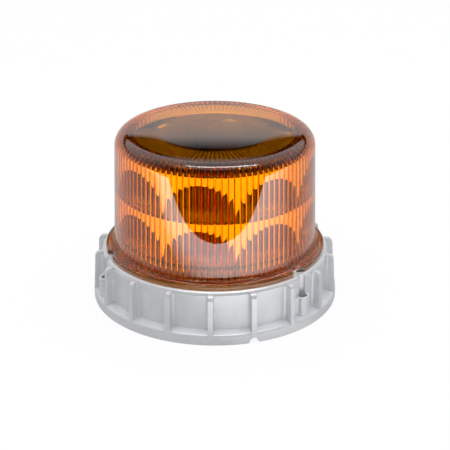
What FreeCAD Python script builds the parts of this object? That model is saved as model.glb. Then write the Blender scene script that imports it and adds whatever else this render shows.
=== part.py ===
"""LED warning beacon on a ribbed three-bolt base, as separate parts in one frame.

Millimetres, +Z up. The origin is the centre of the base's underside and the front is -Y.
Angles called bearings are measured from the front (-Y), positive towards +X.
Each function makes one part and returns it; the table at the end writes one STEP per part.
"""
import FreeCAD, Part
import math
import os

from FreeCAD import Vector

UP = Vector(0, 0, 1)
ORIGIN = Vector(0, 0, 0)

# ---------------------------------------------------------------- driving dimensions
# Base casting
base_r = 70.0            # bottom rim radius
rim_h = 4.2              # height of the plain bottom rim
rim_round = 1.6          # rounding from the rim up to the window floors
ledge_z = 28.9           # top of the ledge that carries the lens
ledge_round = 2.0        # rounding along the ledge's outer edge
window_depth = 5.2       # from the rim in to the back wall of the windows
window_floor_z = 7.2     # height of a window's floor at its back wall
window_corner = 1.6      # upright corner radius inside a window
floor_fall = 1.2         # how far a window floor drops towards the rim
rib_count = 18
rib_t = 2.8              # rib thickness
rib_bearing = -2.0       # bearing of the first rib
rib_draft = 1.0          # a rib's top corner lies this far inside the rim
rib_top_round = 2.9      # rounding of a rib's top corner
rib_drop = 0.5           # rib tops lie this far under the ledge
notch_r = 3.0            # drain notch in the bottom edge
notch_bearing = 18.0
casting_wall = 2.9       # ledge plate and deck thickness
collar_inset = 17.0      # from the rim in to the raised collar inside the lens
collar_h = 7.2           # collar and deck above the ledge

# Bolt mount
bolt_inset = 5.0         # from the rim in to the bolt circle
bolt_count = 3
bolt_bearing = 48.0
bolt_hole_r = 2.75       # M5 clearance
bolt_seat_z = 17.3       # top of the closed part of each bolt hole
bolt_boss_r = 3.9        # pillar round each bolt hole
bolt_boss_flare = 2.6    # hollow rounding from a pillar to the wall behind it
bolt_boss_round = 0.5    # rounding of a pillar's top edge
bolt_head_gap = 5.5      # lens flange notch radius about each bolt axis

# Underside
cover_inset = 9.8        # from the rim in to the cover
cover_t = 2.0
cover_z = 1.2            # underside of the cover plate
cover_gap = 0.4          # radial gap round the cover
cover_step = 0.7         # shoulder that the cover seal presses against
cover_screw_inset = 5.2
cover_screw_count = 6
cover_seal_t = 0.8
cover_seal_w = 1.5
grommet_r = 8.0          # waist of the grommet
cable_r = 3.6            # cable bore of the grommet
grommet_lip = 2.0
vent_r = 3.0
vent_ring = 22.0
pad_w = 10.0             # foam gasket under the cover
pad_inset = 10.2         # from the cover's edge in to the gasket
plug_gap = 0.03          # grommet and vent in their holes

# Lens
head_room = 8.8          # from the top of the optics to the top of the lens
lens_gap = 4.6           # from the collar out to the foot of the lens wall
lens_draft = 1.4         # how much the wall draws in up to the shoulder
lens_round = 7.6         # shoulder radius
lens_wall = 2.0          # wall thickness between the flute ridges
flute_count = 104
flute_h = 0.75           # ridge height of the inside flutes
flute_reach = 10.9       # from the shoulder in to where the flutes end
flange_inset = 7.5       # from the rim in to the flange's edge
flange_lift = 0.3        # flange skirt over the ledge
lip_h = 2.5              # height of the flange's outer lip
mark_w = 1.2             # index mark in the lip over each bayonet lug
mark_depth = 0.45

# Lens ring: carries the bayonet lugs that lock the lens to the collar
skirt_w = 2.6            # width of the flange's skirt outside the ring
ring_t = 1.8
ring_gap = 0.1           # ring over the ledge
ring_play = 0.3          # ring round the collar
lens_seat_gap = 0.1      # lens over ring
skirt_gap = 0.3          # ring inside the lens skirt
lug_depth = 1.6
lug_angle = 12.0
lug_count = 3
lug_bearing = -12.0
lug_clear = 0.4          # clearance beyond and beside a lug in its groove
lug_lift = 0.1           # clearance over and under a lug
twist = 20.0             # unlocking turn of the lens

# Ring seal in the ledge
seal_offset = 2.8        # from the collar out to the middle of the seal
seal_w = 2.6
seal_t = 1.2
seal_clear = 0.1

# Optics
bowl_count = 8
bowl_bearing = -8.9      # bearing of the first bowl's middle
optic_gap = 3.0          # reflector rings inside the collar
optic_h = 25.1           # height of each tier of reflectors
bowl_head = 4.0          # plain band above each bowl
shell_t = 1.4            # wall of the moulded reflectors
board_t = 1.6
board_inset = 0.6        # LED boards inside the reflector rings
led_inset = 8.0
led_size = 3.4
led_t = 0.8
led_dome_r = 1.3
tab_w = 7.0
tab_t = 2.2
tab_reach = 19.0
optic_screw_inset = 14.0

# Heat-sink column between the two LED boards
column_flange_t = 3.0
column_fins = 8
column_fin_t = 2.0
column_screw_count = 3
board_screw_count = 4

# Driver electronics
driver_gap = 7.0         # driver board inside the collar
driver_drop = 15.7       # driver board under the deck
post_inset = 8.0
post_r = 3.2
post_count = 4

# Screws: thread radius, head radius, head height
m3 = (1.5, 2.75, 1.9)
m4 = (2.0, 3.6, 2.5)
hole_clear = 0.2         # radial clearance of a plain screw hole
pilot_bite = 0.02        # a tapped hole's wall lies this far outside its screw
thread_len = 7.0
nut_h = 2.4

# ---------------------------------------------------------------- worked-out values
window_r = base_r - window_depth
rib_top_r = base_r - rib_draft
rib_top_z = ledge_z - rib_drop
collar_r = base_r - collar_inset
deck_z = ledge_z + collar_h
deck_under = deck_z - casting_wall
pocket_top = ledge_z - casting_wall
bolt_r = base_r - bolt_inset

cover_r = base_r - cover_inset
pocket_r = cover_r - cover_step
cover_screw_ring = cover_r - cover_screw_inset
cover_top = cover_z + cover_t
seal_top = cover_top + cover_seal_t
pad_outer_r = cover_r - pad_inset

flange_r = base_r - flange_inset
flange_z = ledge_z + flange_lift
lip_z = flange_z + lip_h
lens_foot_z = lip_z + 2.3
lens_foot_r = collar_r + lens_gap
lens_top_r = lens_foot_r - lens_draft
lens_inner_foot_r = lens_foot_r - lens_wall
lens_inner_top_r = lens_top_r - lens_wall
flute_disc_r = lens_top_r - flute_reach
ring_outer_r = flange_r - skirt_w - skirt_gap
ring_inner_r = collar_r + ring_play
ring_z = ledge_z + ring_gap
ring_top = ring_z + ring_t
lens_seat_z = ring_top + lens_seat_gap
seal_r = collar_r + seal_offset

optic_r = collar_r - optic_gap
bowl_step = 360.0 / bowl_count
bowl_depth = 0.3 * optic_r
bowl_r = min(optic_r * math.tan(math.radians(bowl_step / 2)) + 0.2, optic_h - bowl_head)
led_board_r = optic_r - board_inset
led_ring = optic_r - led_inset
tab_inner_r = optic_r - tab_reach
optic_screw_ring = optic_r - optic_screw_inset
first_tab = bowl_bearing + bowl_step / 2

column_r = 0.32 * optic_r
column_core_r = 0.22 * optic_r
column_bore_r = 0.16 * optic_r
column_flange_r = 0.4 * optic_r
column_screw_ring = 0.34 * optic_r
lower_board_bore = 0.43 * optic_r
lower_board_screw_ring = 0.5 * optic_r
upper_board_bore = 0.18 * optic_r

lower_board_top = deck_z + board_t
lower_optic_top = lower_board_top + optic_h
upper_board_top = lower_optic_top + board_t
upper_optic_top = upper_board_top + optic_h
lens_h = upper_optic_top + head_room

driver_r = collar_r - driver_gap
driver_z = deck_under - driver_drop
driver_top = driver_z + board_t
post_ring = driver_r - post_inset
link_y = post_ring - 9.0  # stacking connector
part_ring = post_ring - 9.0


# ---------------------------------------------------------------- helpers
def at(radius, bearing, z=0.0):
    """The point at a radius and bearing."""
    a = math.radians(bearing)
    return Vector(radius * math.sin(a), -radius * math.cos(a), z)


def turned(shape, bearing):
    """A copy of a shape built facing the front, turned to a bearing."""
    copy = shape.copy()
    copy.rotate(ORIGIN, UP, bearing)
    return copy


def ring_of(shape, count, first=0.0):
    """Copies of a front-facing shape spread evenly round the axis."""
    return [turned(shape, first + i * 360.0 / count) for i in range(count)]


def outline(points):
    """A face from (radius, z) points; a pair of points in a list is an arc's middle and end."""
    edges = []
    here = Vector(points[0][0], 0, points[0][1])
    for step in points[1:] + [points[0]]:
        if isinstance(step, list):
            (mr, mz), (er, ez) = step
            end = Vector(er, 0, ez)
            edges.append(Part.Arc(here, Vector(mr, 0, mz), end).toShape())
        else:
            end = Vector(step[0], 0, step[1])
            if end.distanceToPoint(here) < 1e-6:
                continue
            edges.append(Part.makeLine(here, end))
        here = end
    return Part.Face(Part.Wire(edges))


def spun(points):
    """The solid of revolution of an outline about Z."""
    return outline(points).revolve(ORIGIN, UP, 360)


def quarter(centre, radius, start_deg, end_deg):
    """Middle and end of an arc about centre, for outline()."""
    def spot(deg):
        a = math.radians(deg)
        return (centre[0] + radius * math.cos(a), centre[1] + radius * math.sin(a))
    return [spot((start_deg + end_deg) / 2), spot(end_deg)]


def disc(radius, z0, z1, centre=ORIGIN):
    """An upright cylinder between two heights."""
    return Part.makeCylinder(radius, z1 - z0, Vector(centre.x, centre.y, z0))


def tube(outer, inner, z0, z1):
    return disc(outer, z0, z1).cut(disc(inner, z0 - 1, z1 + 1))


def block(x0, x1, y0, y1, z0, z1):
    return Part.makeBox(x1 - x0, y1 - y0, z1 - z0, Vector(x0, y0, z0))


def sector(r0, r1, half_angle, z0, z1):
    """A front-facing piece of a ring, half_angle degrees to each side."""
    wedge = outline([(r0, z0), (r1, z0), (r1, z1), (r0, z1)])
    solid = wedge.revolve(ORIGIN, UP, 2 * half_angle)
    solid.rotate(ORIGIN, UP, -90 - half_angle)
    return solid


def screw(size, point, length, heads_up=True):
    """A pan-head screw. point is the middle of the head's seat; the shank runs away from it."""
    shank_r, head_r, head_h = size
    head = Part.makeCylinder(head_r, head_h, ORIGIN)
    rim = [e for e in head.Edges if abs(e.CenterOfMass.z - head_h) < 1e-6 and e.Closed]
    head = head.makeChamfer(0.35 * head_h, rim)
    drive = Part.makeCylinder(0.45 * head_r, 0.5 * head_h, Vector(0, 0, 0.5 * head_h))
    solid = head.cut(drive).fuse(Part.makeCylinder(shank_r, length, ORIGIN, -UP)).removeSplitter()
    if not heads_up:
        solid.rotate(ORIGIN, Vector(1, 0, 0), 180)
    solid.translate(point)
    return solid


def group(shapes):
    return Part.makeCompound(shapes)


# ---------------------------------------------------------------- base casting
def housing_outline():
    """The casting's outside as if its windows were filled: rim, rib faces, ledge, collar."""
    top_turn = (rib_top_r - rib_top_round, rib_top_z - rib_top_round)
    return [
        (0, 0),
        (base_r, 0),
        (base_r, rim_h),
        (rib_top_r, top_turn[1]),
        quarter(top_turn, rib_top_round, 0, 90),
        (window_r - ledge_round / 2, rib_top_z),
        (window_r - ledge_round, ledge_z),
        (collar_r, ledge_z),
        (collar_r, deck_z),
        (0, deck_z),
    ]


def window_floor():
    """Everything below the windows' sloping floors, out to the rounded rim."""
    outer_z = window_floor_z - floor_fall
    turn = (base_r - rim_round, outer_z - rim_round)
    return spun([(0, 0), (base_r + 5, 0), (base_r + 5, turn[1]), (base_r, turn[1]),
                 quarter(turn, rim_round, 0, 90),
                 (window_r, window_floor_z), (0, window_floor_z)])


def window_cutter():
    """One window: the space between two ribs, with rounded upright corners at its back wall."""
    half = math.pi / rib_count
    side = rib_t / 2
    outer = base_r + 4
    back = window_r

    def on_rib(radius, sign):
        """The point of a rib's face at this radius, seen from the window's middle."""
        reach = math.sqrt(radius ** 2 - side ** 2)
        along = Vector(math.sin(half), -math.cos(half), 0)
        inward = Vector(-math.cos(half), -math.sin(half), 0)
        p = along * reach + inward * side
        return Vector(p.x * sign, p.y, 0)

    corner = []
    for sign in (-1, 1):
        start = on_rib(back + window_corner, sign)
        wall_half = math.atan2(on_rib(back, 1).x, -on_rib(back, 1).y) - window_corner / back
        end = Vector(sign * back * math.sin(wall_half), -back * math.cos(wall_half), 0)
        apex = on_rib(back, sign)
        middle = (start + end) * 0.5
        corner.append((start, middle + (apex - middle) * 0.42, end))
    left, right = corner
    edges = [
        Part.makeLine(on_rib(outer, -1), left[0]),
        Part.Arc(*left).toShape(),
        Part.Arc(left[2], Vector(0, -back, 0), right[2]).toShape(),
        Part.Arc(right[2], right[1], right[0]).toShape(),
        Part.makeLine(right[0], on_rib(outer, 1)),
        Part.makeLine(on_rib(outer, 1), on_rib(outer, -1)),
    ]
    prism = Part.Face(Part.Wire(edges)).extrude(UP * (deck_z + 5))
    turn = (window_r - ledge_round, ledge_z - ledge_round)
    rounding = outline([
        (turn[0], ledge_z), quarter(turn, ledge_round, 90, 0),
        (window_r + 0.5, turn[1]), (window_r + 0.5, ledge_z + 1), (turn[0], ledge_z + 1)])
    span = 360.0 / rib_count - 2 * math.degrees(math.asin(side / window_r))
    rounding = rounding.revolve(ORIGIN, UP, span)
    rounding.rotate(ORIGIN, UP, -90 - span / 2)
    return prism.fuse(rounding)


def base_housing():
    """Die-cast base: ribbed skirt, ledge, collar with bayonet groove, deck and driver pocket."""
    body = spun(housing_outline())
    first_window = rib_bearing + 180.0 / rib_count
    floor = window_floor()
    window = window_cutter().cut(floor)
    body = body.cut(ring_of(window, rib_count, first_window))
    bolt_axis = at(bolt_r, 0)
    body = body.fuse(ring_of(bolt_pillar(), bolt_count, bolt_bearing))
    body = body.cut(housing_hollow())
    body = body.fuse(housing_bosses())
    holes = []
    bolt_hole = disc(bolt_hole_r, -1, bolt_seat_z + 1, bolt_axis)
    channel = disc(bolt_hole_r, bolt_seat_z, ledge_z + 5, bolt_axis)
    channel = channel.fuse(block(-bolt_hole_r, bolt_hole_r,
                                 bolt_axis.y - base_r, bolt_axis.y, bolt_seat_z, ledge_z + 5))
    holes += ring_of(bolt_hole, bolt_count, bolt_bearing)
    holes += ring_of(channel, bolt_count, bolt_bearing)
    notch = Part.makeCylinder(notch_r, 2 * (base_r - pocket_r), Vector(0, -pocket_r - 3, 0),
                              Vector(0, -1, 0))
    holes.append(turned(notch, notch_bearing))
    holes += bayonet_groove()
    holes.append(spun([(seal_r - seal_w / 2 - seal_clear, ledge_z - seal_t),
                       (seal_r + seal_w / 2 + seal_clear, ledge_z - seal_t),
                       (seal_r + seal_w / 2 + seal_clear, ledge_z + 1),
                       (seal_r - seal_w / 2 - seal_clear, ledge_z + 1)]))
    holes += housing_holes()
    return body.cut(holes)


def bolt_pillar():
    """Front-facing pillar round a bolt hole, with a hollow flare into the wall behind it."""
    axis = at(bolt_r, 0)
    pillar = disc(bolt_boss_r, rim_h, bolt_seat_z, axis)
    top = [e for e in pillar.Edges if e.Closed and abs(e.CenterOfMass.z - bolt_seat_z) < 1e-6]
    pillar = pillar.makeFillet(bolt_boss_round, top)
    turn = Vector(bolt_boss_r + bolt_boss_flare, -window_r - bolt_boss_flare, 0)
    web = block(-turn.x, turn.x, turn.y, -window_r + ledge_round, rim_h, bolt_seat_z)
    hollows = [disc(bolt_boss_flare, rim_h - 1, bolt_seat_z + 1, Vector(side * turn.x, turn.y, 0))
               for side in (-1, 1)]
    return pillar.fuse(web.cut(hollows))


def housing_hollow():
    """The driver pocket: cover recess, skirt space and the space under the deck."""
    inner = collar_r - 2 * casting_wall
    return spun([(0, -1), (cover_r + cover_gap, -1), (cover_r + cover_gap, seal_top),
                 (pocket_r, seal_top), (pocket_r, pocket_top), (inner, pocket_top),
                 (inner, deck_under), (0, deck_under)])


def housing_bosses():
    """Cover-screw bosses on the skirt and driver posts under the deck."""
    boss_r = m3[1] + 0.6
    cover_boss = disc(boss_r, cover_top, pocket_top + 1, at(cover_screw_ring, 0))
    post = disc(post_r, driver_top, deck_under + 1, at(post_ring, 0))
    return (ring_of(cover_boss, cover_screw_count, 30)
            + ring_of(post, post_count, 0))


def housing_holes():
    """Tapped holes for every screw that goes into the casting, and the deck's wire slots."""
    m3_tap = m3[0] + pilot_bite
    found = ring_of(disc(m3_tap, cover_z, cover_top + thread_len + 1, at(cover_screw_ring, 0)),
                    cover_screw_count, 30)
    found += ring_of(disc(m3_tap, driver_z, driver_top + thread_len + 1, at(post_ring, 0)),
                     post_count, 0)
    found += ring_of(disc(m3_tap, deck_under - 1, deck_z + 1, at(lower_board_screw_ring, 0)),
                     board_screw_count, 45)
    found += tab_ring(disc(m3_tap, deck_under - 1, deck_z + 1, at(optic_screw_ring, 0)))
    found += ring_of(disc(m4[0] + hole_clear, deck_under - 1, deck_z + 1,
                          at(column_screw_ring, 0)), column_screw_count, 0)
    found.append(disc(column_bore_r - 1, deck_under - 1, deck_z + 1))
    found.append(stack_slot(0.6, deck_under - 1, deck_z + 1))
    return found


def bayonet_groove():
    """A groove in the collar for each lug to turn in, with an entry slot at its unlocked end."""
    depth_r = ring_inner_r - lug_depth - lug_clear
    margin = math.degrees(lug_clear / collar_r)
    half = lug_angle / 2 + margin
    groove = sector(depth_r, collar_r + 1, half + twist / 2, ledge_z, ring_top + lug_lift)
    entry = sector(depth_r, collar_r + 1, half, ledge_z, deck_z + 1)
    pair = []
    for i in range(lug_count):
        b = lug_bearing + i * 360.0 / lug_count
        pair.append(turned(groove, b + twist / 2))
        pair.append(turned(entry, b + twist))
    return pair


# ---------------------------------------------------------------- underside parts
def bottom_cover():
    """Plate that closes the driver pocket."""
    plate = disc(cover_r, cover_z, cover_top)
    holes = ring_of(disc(m3[0] + hole_clear, cover_z - 1, cover_top + 1, at(cover_screw_ring, 0)),
                    cover_screw_count, 30)
    holes += ring_of(Part.makeCone(m3[1] + 0.1, m3[0] + 0.1, m3[1] - m3[0],
                                   at(cover_screw_ring, 0, cover_z)), cover_screw_count, 30)
    holes.append(disc(grommet_r + plug_gap, cover_z - 1, cover_top + 1))
    holes.append(disc(vent_r + plug_gap, cover_z - 1, cover_top + 1, at(vent_ring, 180)))
    return plate.cut(holes)


def cover_seal():
    return tube(cover_r, cover_r - cover_seal_w, cover_top, seal_top)


def cover_screws():
    """Countersunk screws, flush with the cover's underside."""
    shank_r, head_r, _ = m3
    point = at(cover_screw_ring, 0, cover_z)
    head = Part.makeCone(head_r, shank_r, head_r - shank_r, point)
    shank = Part.makeCylinder(shank_r, cover_t + thread_len, point)
    drive = Part.makeCylinder(0.4 * head_r, 0.8, point)
    one = head.fuse(shank).cut(drive).removeSplitter()
    return group(ring_of(one, cover_screw_count, 30))


def mounting_gasket():
    """Foam ring that seals the cable outlet against the surface below."""
    return tube(pad_outer_r, pad_outer_r - pad_w, 0, cover_z)


def cable_grommet():
    """Rubber grommet with a cable bore, gripping the edge of the cover's hole."""
    flange = grommet_r + grommet_lip
    return spun([(cable_r, 0.2), (flange, 0.2), (flange, cover_z), (grommet_r, cover_z),
                 (grommet_r, cover_top), (flange, cover_top), (flange, cover_top + 1.2),
                 (cable_r + 1.6, cover_top + 5.5), (cable_r, cover_top + 5.5)])


def vent_plug():
    """Pressure-equalising vent: a cap outside the cover and a barbed stem inside it."""
    stem = spun([(0, 0.3), (vent_r + 2, 0.3), (vent_r + 2, cover_z), (vent_r, cover_z),
                 (vent_r, cover_top), (vent_r + 0.5, cover_top), (vent_r - 0.6, cover_top + 2.4),
                 (0, cover_top + 2.4)])
    stem.translate(at(vent_ring, 180))
    return stem


# ---------------------------------------------------------------- driver electronics
def stack_slot(margin, z0, z1):
    """Upright block where the stacking connector passes through the deck."""
    return block(-5 - margin, 5 + margin, link_y - 2 - margin, link_y + 2 + margin, z0, z1)


def driver_board():
    """Round circuit board screwed to the posts under the deck."""
    plate = disc(driver_r, driver_z, driver_top)
    holes = ring_of(disc(m3[0] + hole_clear, driver_z - 1, driver_top + 1, at(post_ring, 0)),
                    post_count, 0)
    return plate.cut(holes)


def driver_screws():
    one = screw(m3, at(post_ring, 0, driver_z), board_t + thread_len, heads_up=False)
    return group(ring_of(one, post_count, 0))


def capacitors():
    """Two electrolytic cans with a crimped waist."""
    can = spun([(0, driver_top), (5, driver_top), (5, driver_top + 1.6),
                (4.6, driver_top + 2.1), (5, driver_top + 2.6), (5, driver_top + 9),
                (4.6, driver_top + 9.4), (0, driver_top + 9.4)])
    cans = []
    for bearing in (60, 105):
        copy = can.copy()
        copy.translate(at(part_ring, bearing))
        cans.append(copy)
    return group(cans)


def inductor():
    """Shielded power inductor with clipped corners."""
    half, clip, height = 6.2, 1.8, 6.0
    corners = [(half, -half + clip), (half, half - clip), (half - clip, half),
               (-half + clip, half), (-half, half - clip), (-half, -half + clip),
               (-half + clip, -half), (half - clip, -half)]
    points = [Vector(x, y, driver_top) for x, y in corners]
    core = Part.Face(Part.makePolygon(points + points[:1])).extrude(UP * height)
    core = core.cut(disc(4.2, driver_top + height - 0.5, driver_top + height + 1))
    core.translate(at(part_ring, -75))
    return core


def power_chips():
    """Driver transistors and controller, as moulded packages."""
    chips = []
    for bearing, size in ((-120, 6.5), (-148, 6.5), (150, 5.0)):
        body = block(-size / 2, size / 2, -size / 2, size / 2, driver_top, driver_top + 2.2)
        body.translate(at(part_ring, bearing))
        chips.append(body)
    return group(chips)


def input_terminal():
    """Two-way terminal block under the board, for the supply cable."""
    shell = block(-8, 8, -4.5, 4.5, driver_z - 6, driver_z)
    holes = []
    for x in (-3.8, 3.8):
        holes.append(Part.makeCylinder(1.5, 5, Vector(x, -5, driver_z - 2.6), Vector(0, 1, 0)))
        holes.append(disc(1.5, driver_z - 7, driver_z - 5, Vector(x, 0.8, 0)))
    shell = shell.cut(holes)
    shell.translate(at(24, 0))
    return shell


def stack_connector():
    """Tall connector from the driver board through the deck to the lower LED board."""
    return stack_slot(0, driver_top, deck_z)


def led_harness():
    """Two insulated wires up the column's bore, out over the upper board to its plug."""
    wire_r, top = 0.9, upper_board_top + 4.5
    wires = []
    for x in (-1.6, 1.6):
        start = Vector(x, 0, driver_top)
        turn = Vector(x, 0, top)
        end = Vector(x, plug_y(), top)
        bend = 3.0
        path = Part.Wire([
            Part.makeLine(start, turn - UP * bend),
            Part.Arc(turn - UP * bend, turn + Vector(0, bend * 0.293, -bend * 0.293),
                     turn + Vector(0, bend, 0)).toShape(),
            Part.makeLine(turn + Vector(0, bend, 0), end)])
        section = Part.Wire(Part.makeCircle(wire_r, start, UP))
        wires.append(path.makePipeShell([section], True, False))
    return group(wires)


def plug_y():
    return upper_board_bore + 1.5


def harness_plug():
    """Wire-to-board plug on the upper LED board."""
    return block(-4, 4, plug_y(), plug_y() + 6, upper_board_top, upper_board_top + 6)


# ---------------------------------------------------------------- optics
def bowl(grow, base_z):
    """One reflector space: a ball centred just outside the face, cut off by it as a round arch."""
    ball_r = (bowl_r ** 2 + bowl_depth ** 2) / (2 * bowl_depth)
    return Part.makeSphere(ball_r + grow, Vector(0, bowl_depth - ball_r - optic_r, base_z))


def reflector_slice(base_z):
    """One bowl's share of a reflector, between the upright planes midway to its neighbours."""
    top = base_z + optic_h
    half = math.radians(bowl_step / 2)
    reach = 2 * optic_r
    corners = [ORIGIN, Vector(-reach * math.tan(half), -reach, 0),
               Vector(reach * math.tan(half), -reach, 0), ORIGIN]
    share = Part.Face(Part.makePolygon(corners)).extrude(UP * optic_h)
    share.translate(UP * base_z)
    shell = bowl(shell_t, base_z).common(disc(optic_r, base_z, top))
    solid = tube(optic_r, optic_r - shell_t, base_z, top).fuse(shell)
    return solid.cut(bowl(0, base_z)).common(share)


def reflector(base_z):
    """Moulded ring of half-dome bowls: thin shells behind a round face with a rim above."""
    slices = ring_of(reflector_slice(base_z), bowl_count, bowl_bearing)
    solid = slices[0].fuse(slices[1:])
    tab = block(-tab_w / 2, tab_w / 2, -optic_r + 2, -tab_inner_r, base_z, base_z + tab_t)
    beside = [turned(bowl(0, base_z), side * bowl_step / 2) for side in (-1, 1)]
    hole = disc(m3[0] + hole_clear, base_z - 1, base_z + tab_t + 1, at(optic_screw_ring, 0))
    tab = tab.cut(beside + [hole])
    holes = tab_ring(hole)
    return solid.fuse(tab_ring(tab)).cut(holes).removeSplitter()


def tab_ring(shape):
    """Copies at every second gap between bowls, where the fixing tabs are."""
    return [turned(shape, first_tab + 2 * i * bowl_step) for i in range(bowl_count // 2)]


def led_board(base_z, bore_r, screw_ring):
    """Metal-core LED board with its screw holes."""
    plate = tube(led_board_r, bore_r, base_z, base_z + board_t)
    through = (base_z - 1, base_z + board_t + 1)
    holes = ring_of(disc(m3[0] + hole_clear, *through, at(screw_ring, 0)), board_screw_count, 45)
    holes += tab_ring(disc(m3[0] + hole_clear, *through, at(optic_screw_ring, 0)))
    return plate.cut(holes)


def leds(board_top):
    """One square LED package with a round silicone dome in each bowl."""
    half = led_size / 2
    y = -led_ring
    package = block(-half, half, y - half, y + half, board_top, board_top + led_t)
    dome = Part.makeSphere(led_dome_r, Vector(0, y, board_top + led_t))
    dome = dome.common(block(-5, 5, y - 5, y + 5, board_top + led_t / 2, board_top + 10))
    return group(ring_of(package.fuse(dome).removeSplitter(), bowl_count, bowl_bearing))


def optic_screws(board_top, length):
    one = screw(m3, at(optic_screw_ring, 0, board_top + tab_t), length)
    return group(tab_ring(one))


def optic_nuts():
    """Hexagon nuts under the upper LED board."""
    across = 2 * m3[1]
    points = [Vector(across / math.sqrt(3) * math.cos(math.radians(60 * i)),
                     across / math.sqrt(3) * math.sin(math.radians(60 * i)), 0)
              for i in range(6)]
    nut = Part.Face(Part.makePolygon(points + points[:1])).extrude(UP * nut_h)
    nut = nut.cut(disc(m3[0] + pilot_bite, -1, nut_h + 1))
    nut.translate(at(optic_screw_ring, 0, lower_optic_top - nut_h))
    return group(tab_ring(nut))


def heat_column():
    """Finned aluminium column that carries the upper LED board and cools it."""
    body = disc(column_core_r, deck_z, lower_optic_top)
    low = disc(column_flange_r, deck_z, deck_z + column_flange_t)
    high = disc(column_flange_r, lower_optic_top - column_flange_t, lower_optic_top)
    fin = block(-column_fin_t / 2, column_fin_t / 2, -column_r, 0, deck_z, lower_optic_top)
    body = body.fuse([low, high] + ring_of(fin, column_fins, 22.5))
    holes = [disc(column_bore_r, deck_z - 1, lower_optic_top + 1)]
    holes += ring_of(disc(m4[0] + pilot_bite, deck_z - 1, deck_z + column_flange_t + 1,
                          at(column_screw_ring, 0)), column_screw_count, 0)
    holes += ring_of(disc(m3[0] + pilot_bite, lower_optic_top - column_flange_t - 1,
                          lower_optic_top + 1, at(column_screw_ring, 0)), board_screw_count, 45)
    return body.cut(holes)


def column_screws():
    """M4 screws from under the deck into the column's foot."""
    one = screw(m4, at(column_screw_ring, 0, deck_under), casting_wall + column_flange_t,
                heads_up=False)
    return group(ring_of(one, column_screw_count, 0))


def board_screws(board_top, screw_ring, grip):
    one = screw(m3, at(screw_ring, 0, board_top), board_t + grip)
    return group(ring_of(one, board_screw_count, 45))


# ---------------------------------------------------------------- lens and its ring
def lens_seal():
    """Flat rubber ring let into the ledge under the lens ring."""
    return tube(seal_r + seal_w / 2, seal_r - seal_w / 2, ledge_z - seal_t, ledge_z)


def lens_ring():
    """Black moulded ring under the lens flange with three bayonet lugs inside the collar."""
    band = tube(ring_outer_r, ring_inner_r, ring_z, ring_top)
    lug = sector(ring_inner_r - lug_depth, ring_inner_r + 1, lug_angle / 2,
                 ring_z + lug_lift, ring_top - lug_lift)
    return band.fuse(ring_of(lug, lug_count, lug_bearing)).removeSplitter()


def lens_shell():
    """The outside of the lens: flange, wall with draft, round shoulder and flat top."""
    skirt_in = flange_r - skirt_w
    top_turn = (lens_top_r - lens_round, lens_h - lens_round)
    lip_round = 0.8
    lip_turn = (flange_r - lip_round, lip_z - lip_round)
    return spun([
        (0, lens_seat_z),
        (skirt_in, lens_seat_z), (skirt_in, flange_z),
        (flange_r, flange_z), (flange_r, lip_turn[1]),
        quarter(lip_turn, lip_round, 0, 90),
        (flange_r - 1.2, lip_z), (flange_r - 1.6, lip_z + 1.2),
        (flange_r - 2.0, lip_z + 1.9), (flange_r - 2.9, lip_z + 1.9),
        (flange_r - 3.4, lip_z + 1.4), (lens_foot_r + 0.9, lip_z + 1.4),
        (lens_foot_r, lens_foot_z),
        (lens_top_r, top_turn[1]),
        quarter(top_turn, lens_round, 0, 90),
        (0, lens_h)])


def flute_line(bearing, ridge):
    """Upright profile of the fluted cavity at a bearing, on a ridge or between two."""
    inset = flute_h if ridge else 0.0
    wall_top = lens_h - lens_round
    inner_round = lens_round - lens_wall
    foot = lens_inner_foot_r - inset
    top = lens_inner_top_r - inset
    turn = (lens_inner_top_r - inner_round, wall_top)
    round_r = inner_round - inset
    ceiling = lens_h - lens_wall
    a = math.radians(45)
    places = [(foot, lens_seat_z - 1), (top, wall_top),
              (turn[0] + round_r * math.cos(a), turn[1] + round_r * math.sin(a)),
              (turn[0], ceiling - inset), (flute_disc_r, ceiling)]
    foot_p, top_p, mid_p, roof_p, disc_p = [at(r, bearing, z) for r, z in places]
    return [Part.makeLine(foot_p, top_p),
            Part.Arc(top_p, mid_p, roof_p).toShape(),
            Part.makeLine(roof_p, disc_p)]


def lens_cavity():
    """The inside of the lens: each flute is two ruled flanks between ridge and valley lines."""
    step = 180.0 / flute_count
    lines = [flute_line(i * step, i % 2 == 1) for i in range(2 * flute_count)]
    faces = []
    for i, line in enumerate(lines):
        beside = lines[(i + 1) % len(lines)]
        faces += [Part.makeRuledSurface(a, b) for a, b in zip(line, beside)]
    foot = [line[0].Vertexes[0].Point for line in lines]
    roof = [line[2].Vertexes[1].Point for line in lines]
    for ring in (foot, roof):
        faces.append(Part.Face(Part.makePolygon(ring + ring[:1])))
    shell = Part.Shell(faces)
    shell.sewShape()
    cavity = Part.Solid(shell)
    if cavity.Volume < 0:
        cavity.reverse()
    return cavity


def lens():
    """Clear amber dome: flutes inside, a notch over each bolt and a mark over each lug."""
    notch = disc(bolt_head_gap, flange_z - 1, lens_foot_z + 0.4, at(bolt_r, 0))
    notches = ring_of(notch, bolt_count, bolt_bearing)
    mark = block(-mark_w / 2, mark_w / 2, -flange_r - 1, -flange_r + mark_depth,
                 flange_z - 1, lip_z + 1)
    marks = ring_of(mark, lug_count, lug_bearing)
    return lens_shell().cut([lens_cavity()] + notches + marks)


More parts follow.
